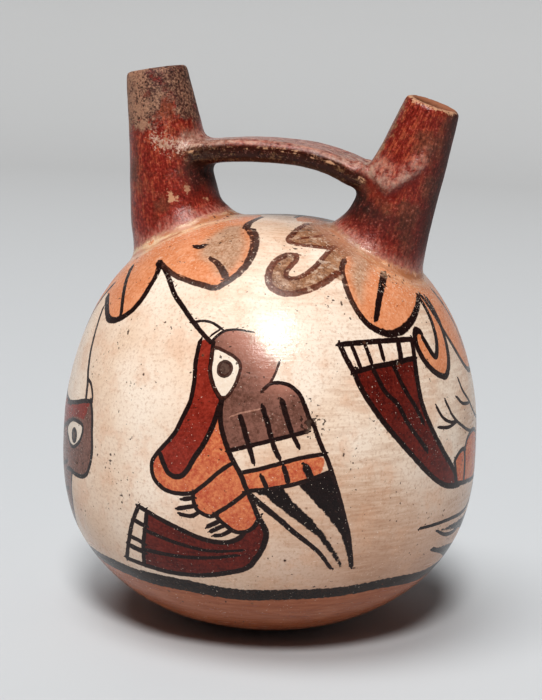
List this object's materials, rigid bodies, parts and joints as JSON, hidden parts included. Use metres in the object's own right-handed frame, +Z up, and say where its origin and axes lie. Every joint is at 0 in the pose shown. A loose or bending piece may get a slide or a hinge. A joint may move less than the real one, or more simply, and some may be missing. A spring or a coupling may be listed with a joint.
{
  "type": "double-spout bridge vessel",
  "caption": "Hollow round clay bottle with splayed spouts joined by a strap bridge, painted with birds feeding at flowers.",
  "frame": {"origin": "middle of the flat resting spot under the body", "axes": "+Z up, +X from the taller spout towards the shorter, more tilted one, -Y towards the painted bird that faces the viewer"},
  "size_m": [0.132, 0.132, 0.1756],
  "materials": {
    "painted_clay": "hand-burnished slip paint, satin"
  },
  "bodies": {
    "root": {"vessel": "painted_clay"}
  },
  "joints": []
}
